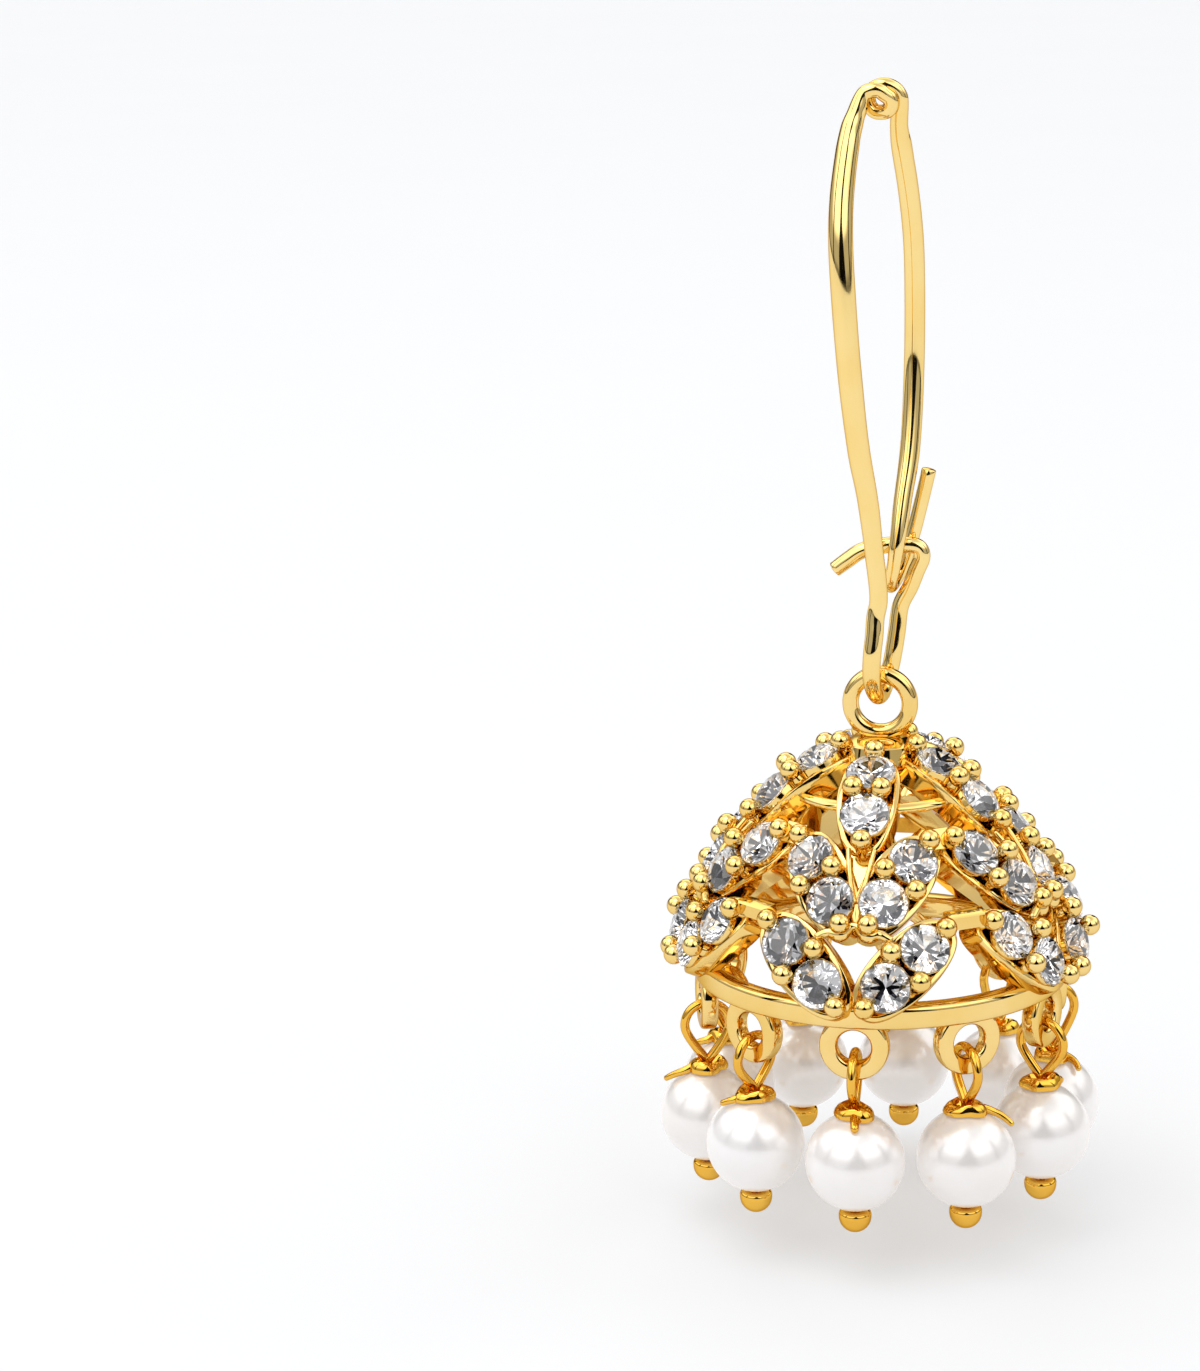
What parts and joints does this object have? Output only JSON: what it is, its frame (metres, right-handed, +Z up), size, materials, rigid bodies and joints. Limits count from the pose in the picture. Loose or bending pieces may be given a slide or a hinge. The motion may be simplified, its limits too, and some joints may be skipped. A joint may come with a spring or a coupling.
{
  "type": "jhumka earring",
  "caption": "Bell drop earring: a gold ear wire with a catch, a pierced dome of stone-set navettes, and pearls hanging from lugs under its rim.",
  "frame": {"origin": "where the earring hangs: the underside of the coil at the top of the ear wire", "axes": "+Z up along the hanging earring, -Y toward the front of the bell, +X to the viewer's right"},
  "size_m": [0.018, 0.0186, 0.0462],
  "materials": {
    "polished_gold": "polished pale yellow gold plate",
    "stone_set_gold": "polished gold plate set with clear round brilliants",
    "deep_gold": "polished deeper yellow gold plate",
    "pearl": "white pearl lustre"
  },
  "bodies": {
    "ear_wire": {"ear_wire": "polished_gold"},
    "jhumka": {"bell": "stone_set_gold", "pin_front": "deep_gold", "pin_front_right": "deep_gold", "pin_right": "deep_gold", "pin_back_right": "deep_gold", "pin_rear_right": "deep_gold", "pin_back": "deep_gold", "pin_rear_left": "deep_gold", "pin_back_left": "deep_gold", "pin_left": "deep_gold", "pin_front_left": "deep_gold", "pearl_front": "pearl", "pearl_front_right": "pearl", "pearl_right": "pearl", "pearl_back_right": "pearl", "pearl_rear_right": "pearl", "pearl_back": "pearl", "pearl_rear_left": "pearl", "pearl_back_left": "pearl", "pearl_left": "pearl", "pearl_front_left": "pearl"}
  },
  "joints": [
    {"name": "bell_swing", "type": "hinge", "parent": "ear_wire", "child": "jhumka", "pos_m": [0.00002, 0, -0.0229], "axis": [0, 1, 0], "range_deg": [-60, 60]}
  ]
}
